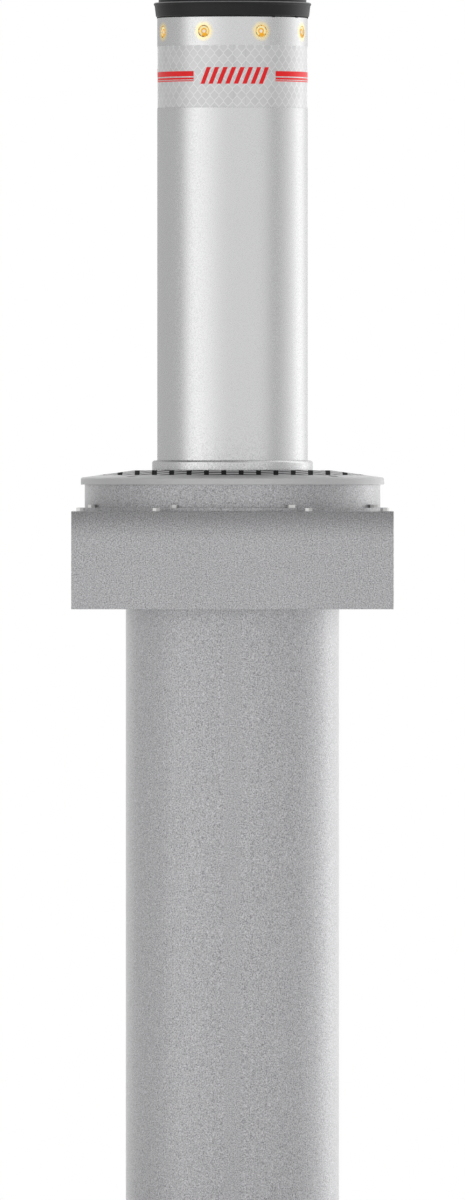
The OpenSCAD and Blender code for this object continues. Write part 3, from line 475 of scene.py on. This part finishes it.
def amber_light():
    """Lit amber unit: pale core, orange emitter ring and lead, cream dish and beaded golden rim."""
    look = material("amber_light_finish")
    distance, turns, number = light_polar(look)
    bead = (turns * RIM_BEADS).math("FLOOR")
    seed = look.vector(bead, number, 3.5)
    chance = look.chance(seed)
    shade = look.chance(seed, "Color")
    from_bead = ((turns * RIM_BEADS).math("FRACT") - 0.5).math("ABSOLUTE")
    core, emitter, dish, rim = LIGHT_ZONES.values()
    in_rim = distance.step(dish - 0.0003, dish + 0.0002)
    speck = chance.step(0.60, 0.62) * from_bead.step(0.48, 0.30) * in_rim
    inside_emitter = distance.step(emitter + 0.0003, emitter - 0.0003)
    outside_core = distance.step(core - 0.0003, core + 0.0004)
    lead = (turns + 0.22).math("ABSOLUTE").step(0.13, 0.10) * (1.0 - in_rim)
    orange = (inside_emitter + lead).clamp()
    colour = look.mix(in_rim, (0.93, 0.82, 0.43), (0.88, 0.52, 0.12))
    colour = look.mix(orange, colour, (0.90, 0.43, 0.022))
    colour = look.mix(inside_emitter * (1.0 - outside_core), colour, (0.86, 0.80, 0.68))
    dark = look.mix(0.55, (0.02, 0.03, 0.03), shade)
    colour = look.mix(speck, colour, look.tint(dark, 0.35))
    return look.surface(
        Base_Color=look.tint(colour, 0.45),
        Roughness=0.30,
        Specular_IOR_Level=0.25,
        Coat_Weight=0.15,
        Coat_Roughness=0.08,
        Emission_Color=look.tint(colour, 0.58),
        Emission_Strength=1.0,
        Normal=look.relief(from_bead * in_rim, 0.0002),
    )


def enamel(name, colour):
    """Brushed enamel with a slight orange peel."""
    look = material(name)
    peel = look.noise(0.004, 2.0, 0.5)
    return look.surface(
        Base_Color=look.tint(colour, 0.85 + 0.3 * peel),
        Roughness=0.35 + 0.1 * peel,
        Normal=look.relief(peel, 0.00005, look.soft_edges(0.0008)),
    )


FINISHES = {
    "satin_stainless": satin_stainless("satin_stainless_finish"),
    "galvanised_steel": galvanised_steel(),
    "tread_casting": tread_casting(),
    "machined_steel": machined_steel("machined_steel_finish", (0.60, 0.60, 0.61), 0.30),
    "fastener_steel": machined_steel("fastener_steel_finish", (0.68, 0.68, 0.67), 0.28),
    "chromed_rod": machined_steel("chromed_rod_finish", (0.82, 0.83, 0.84), 0.08),
    "bush_bronze": machined_steel("bush_bronze_finish", (0.65, 0.48, 0.24), 0.32),
    "black_rubber": black_rubber(),
    "black_paint": black_coat(),
    "barrel_paint": enamel("barrel_enamel_finish", (0.08, 0.085, 0.09)),
    "reflective_film": reflective_film(),
    "red_film": red_film(),
    "circuit_board": enamel("circuit_board_finish", (0.03, 0.20, 0.09)),
    "grey_plastic": enamel("grey_plastic_finish", (0.16, 0.16, 0.17)),
}
for row in frame["record"]["subparts"]:
    finish = FINISHES.get(row["material_slot"])
    if finish:
        NODES[row["node"]].data.materials[0] = finish
NODES["bollard_tube"].data.materials[0] = satin_stainless("lit_stainless_finish", glow_reach=0.0205)
NODES["tread_grip"].data.materials[0] = black_rubber("grip_finish", shine=0.02)
# The box's sheet, with a painted shadow darkening its sides towards the top edge.
BOX_FINISH = galvanised_steel("box_sheet_finish", painted_shadow_reach=0.056)
for name in ("casing_box", "casing_rear"):
    NODES[name].data.materials[0] = BOX_FINISH


# New pieces


def turned_piece(name, profile, segments, place):
    """A closed solid of revolution from a profile that starts and ends on its axis.

    profile holds (radius, height) pairs from the bottom pole to the top one. Point (i, j) is
    (r_i cos a_j, r_i sin a_j, h_i) with a_j = j full turns / segments, and each pole is one vertex.
    place maps those points, made along +Z, to their place in the model.
    """
    radius, height = np.asarray(profile[1:-1], float).T
    angle = np.arange(segments) * TURN / segments
    rings = np.stack([
        np.outer(radius, np.cos(angle)),
        np.outer(radius, np.sin(angle)),
        np.repeat(height[:, None], segments, axis=1),
    ], axis=-1).reshape(-1, 3)
    poles = [(0.0, 0.0, profile[0][1]), (0.0, 0.0, profile[-1][1])]
    points = place(np.concatenate([rings, poles]))
    index = np.arange(len(rings)).reshape(-1, segments)
    after = np.roll(index, -1, axis=1)
    walls = np.stack([index[:-1], after[:-1], after[1:], index[1:]], axis=-1).reshape(-1, 4)
    bottom, top = len(rings), len(rings) + 1
    low_fan = np.stack([after[0], index[0], np.full(segments, bottom)], axis=-1)
    high_fan = np.stack([index[-1], after[-1], np.full(segments, top)], axis=-1)
    mesh = bpy.data.meshes.new(name)
    mesh.from_pydata(points, [], walls.tolist() + low_fan.tolist() + high_fan.tolist())
    mesh.polygons.foreach_set("use_smooth", np.ones(len(mesh.polygons), bool))
    made = bpy.data.objects.new(name, mesh)
    bpy.context.scene.collection.objects.link(made)
    return made


def out_of_tube(turned, level):
    """A mapping that turns +Z to point out of the tube, at an angle from the front and a level."""
    out = np.array([math.sin(turned), -math.cos(turned), 0.0])
    side = np.array([math.cos(turned), math.sin(turned), 0.0])
    up = np.array([0.0, 0.0, 1.0])

    def place(points):
        return points[:, :1] * side + points[:, 1:2] * up + points[:, 2:] * out + level * up

    return place


def arc(centre, radius, start, end, count):
    """Points of an arc in the profile's plane, from one angle to another in degrees."""
    angle = np.radians(np.linspace(start, end, count))
    return [(centre[0] + radius * math.cos(a), centre[1] + radius * math.sin(a)) for a in angle]


def light_unit(number):
    """One light: a shouldered plug with a rounded rim, a dished reflector, an emitter and a dome.

    Its heights are distances from the tube's axis. The dome is a cap of a sphere whose radius is
    (core squared + sag squared) / (2 sag), with sag its rise above the core's edge.
    """
    core, emitter, dish, rim = LIGHT_ZONES.values()
    face = TUBE_R - 0.0005
    back = 0.1176
    shoulder_r, shoulder_top, shoulder_t = 0.0130, 0.1277, 0.0038
    shoulder_foot = shoulder_top - shoulder_t
    rim_round = 0.0005
    ring_top, ring_round = face - 0.0007, 0.0006
    core_edge, edge_round = ring_top - 0.0006, 0.0003
    dome_top = face - 0.0002
    profile = [(0.0, back), (rim, back), (rim, shoulder_foot), (shoulder_r, shoulder_foot)]
    profile += [(shoulder_r, shoulder_top), (rim, shoulder_top)]
    profile += arc((rim - rim_round, face - rim_round), rim_round, 0, 90, 6)
    profile += [(dish + 0.0002, face), (dish - 0.0002, face - 0.0004)]
    profile += [(emitter + 0.0009, face - 0.0017), (emitter + 0.0002, face - 0.0018)]
    profile += arc((emitter - ring_round, ring_top - ring_round), ring_round, 0, 90, 5)
    profile += arc((core + 0.0008, ring_top - edge_round), edge_round, 90, 180, 4)
    profile += [(core + 0.0003, core_edge)]
    sag = dome_top - core_edge
    curve = (core ** 2 + sag ** 2) / (2 * sag)
    for r in np.linspace(core, 0.0, 7):
        profile.append((r, dome_top - curve + math.sqrt(curve ** 2 - r ** 2)))
    turned = TURN * (number - 0.5) / LENS_COUNT
    node = f"light_lens_{number}"
    made = turned_piece(f"light_unit_{number}", profile, 48, out_of_tube(turned, LENS_LEVEL))
    made.data.materials.append(AMBER_LIGHT)
    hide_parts(node)
    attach(made, "bollard")


AMBER_LIGHT = amber_light()
for lens in range(1, LENS_COUNT + 1):
    light_unit(lens)


# Floor, light and camera


def plain_floor():
    """A pale floor that keeps the object's soft shadow near it and fades to white further off."""
    reach = 30.0
    shadow_reach, white_reach = 0.5, 1.9
    mesh = bpy.data.meshes.new("floor")
    corners = [(-reach, -reach, 0), (reach, -reach, 0), (reach, reach, 0), (-reach, reach, 0)]
    mesh.from_pydata(corners, [], [(0, 1, 2, 3)])
    made = bpy.data.objects.new("floor", mesh)
    bpy.context.scene.collection.objects.link(made)
    look = material("floor_finish")
    x, y, z = look.axes(look.place())
    away = (x * x + y * y).math("SQRT").step(shadow_reach, white_reach)
    seen, mirrored = look.rays()
    shadowed = look.node("ShaderNodeBsdfDiffuse", {}, {"Color": (0.88, 0.88, 0.88)})
    white = look.node("ShaderNodeEmission", {}, {"Color": (1.0, 1.0, 1.0), "Strength": 1.0})
    clear = look.node("ShaderNodeBsdfTransparent", {}, [])
    paled = look.node("ShaderNodeMixShader", {}, [seen * away, shadowed, white])
    shown = look.node("ShaderNodeMixShader", {}, [mirrored, paled, clear])
    look.end("ShaderNodeOutputMaterial", shown)
    mesh.materials.append(look.owner)


# Upright panels round the studio: where each starts and the half width of that soft edge, where
# it ends and the same there, all in degrees from the front, and its strength above the base
STUDIO_BASE = 0.54
STUDIO_PANELS = {
    "front_wall": (-76, 12, 57, 12, 0.28),
    "left_key": (-76, 12, -33, 28, 0.40),
    "right_wall": (87, 17, 188, 10, 0.34),
    "right_key": (111, 10, 140, 10, 0.50),
}
# The dark stretch behind on the left, where the count of degrees starts
STUDIO_DARK = -130
# The ceiling is dimmer by this share, except to the right
CEILING_DIM = 0.65
# Light from all round on matt faces
EVEN_LIGHT = 0.34


def studio_world():
    """White behind the object, even light on matt faces and soft upright panels for shiny ones."""
    world = bpy.data.worlds.new("studio")
    bpy.context.scene.world = world
    look = Look(world)
    direction = look.node("ShaderNodeTexCoord", {}, [], "Generated")
    x, y, z = look.axes(direction)
    around = x.math("ARCTAN2", -y) / TURN - STUDIO_DARK / 360
    degrees = around.math("FRACT") * 360 + STUDIO_DARK
    panels = STUDIO_BASE
    for start, start_soft, end, end_soft, strength in STUDIO_PANELS.values():
        rise = degrees.step(start - start_soft, start + start_soft)
        fall = degrees.step(end + end_soft, end - end_soft)
        panels = rise * fall * strength + panels
    right = x / (x * x + y * y).math("SQRT").math("MAXIMUM", 0.001)
    ceiling = z.step(0.25, 0.75) * right.step(0.9, 0.2)
    panels = panels * (1.0 - CEILING_DIM * ceiling)
    seen, mirrored = look.rays()
    strength = EVEN_LIGHT + (1.0 - EVEN_LIGHT) * seen + (panels - EVEN_LIGHT) * mirrored
    values = {"Color": (1.0, 1.0, 1.0), "Strength": strength}
    shader = look.node("ShaderNodeBackground", {}, values)
    look.end("ShaderNodeOutputWorld", shader)
    world.cycles.sampling_method = "NONE"


# Soft lamps for matt faces: degrees from the front, height of the centre, distance from the axis,
# width and height in metres, and the level that each gives a white face turned to it
LAMPS = {
    "front_fill": (0, 1.1, 6.0, 5.0, 2.4, 0.36),
    "rear_top": (180, 5.6, 1.6, 1.4, 1.4, 1.00),
    "right_side": (100, 1.2, 4.0, 1.0, 2.4, 0.18),
    "left_side": (-96, 1.2, 4.0, 1.0, 2.4, 0.14),
    "rear_right": (127, 1.0, 2.4, 0.9, 2.0, 0.85),
    "rear_left": (-142, 1.0, 2.4, 0.9, 2.0, 0.35),
}


def soft_lamp(name, angle, height, distance, width, tall, level):
    """A rectangular lamp turned to the axis, level or, from high up, down to the tread.

    Its power in watts is (pi d) squared times the level, with d its distance in metres from the
    point that it is turned to.
    """
    data = bpy.data.lights.new(name, "AREA")
    data.shape = "RECTANGLE"
    data.size, data.size_y = width, tall
    turned = math.radians(angle)
    place = Vector((distance * math.sin(turned), -distance * math.cos(turned), height))
    to_object = Vector((0.0, 0.0, min(height, TREAD_LEVEL))) - place
    data.energy = (math.pi * to_object.length) ** 2 * level
    made = bpy.data.objects.new(name, data)
    bpy.context.scene.collection.objects.link(made)
    made.location = place
    made.rotation_euler = to_object.to_track_quat("-Z", "Y").to_euler()
    made.visible_glossy = False
    made.visible_camera = False


def photo_camera():
    """A level camera far off in front, at the tread's level, framed as the photograph is.

    The scale is the photograph's on an upright plane a little in front of the axis, between the
    outline and the front of the tube. The photograph has no perspective, and standing at the
    tread's level keeps the tread and the collar as flat as it shows them.
    """
    distance = 34.0
    sharp_plane = 0.06
    height_seen = PHOTO_ROWS * METRES_PER_PIXEL
    data = bpy.data.cameras.new("camera")
    data.sensor_width = 36.0
    data.sensor_fit = "AUTO"
    data.lens = data.sensor_width * (distance - sharp_plane) / height_seen
    data.shift_y = (TREAD_ROW - PHOTO_ROWS / 2) / PHOTO_ROWS
    data.clip_end = 200.0
    made = bpy.data.objects.new("camera", data)
    bpy.context.scene.collection.objects.link(made)
    made.location = (0.0, -distance, TREAD_LEVEL)
    made.rotation_euler = (math.pi / 2, 0.0, 0.0)
    bpy.context.scene.camera = made


plain_floor()
studio_world()
for name, places in LAMPS.items():
    soft_lamp(name, *places)
photo_camera()
bpy.context.scene.view_settings.view_transform = "Standard"
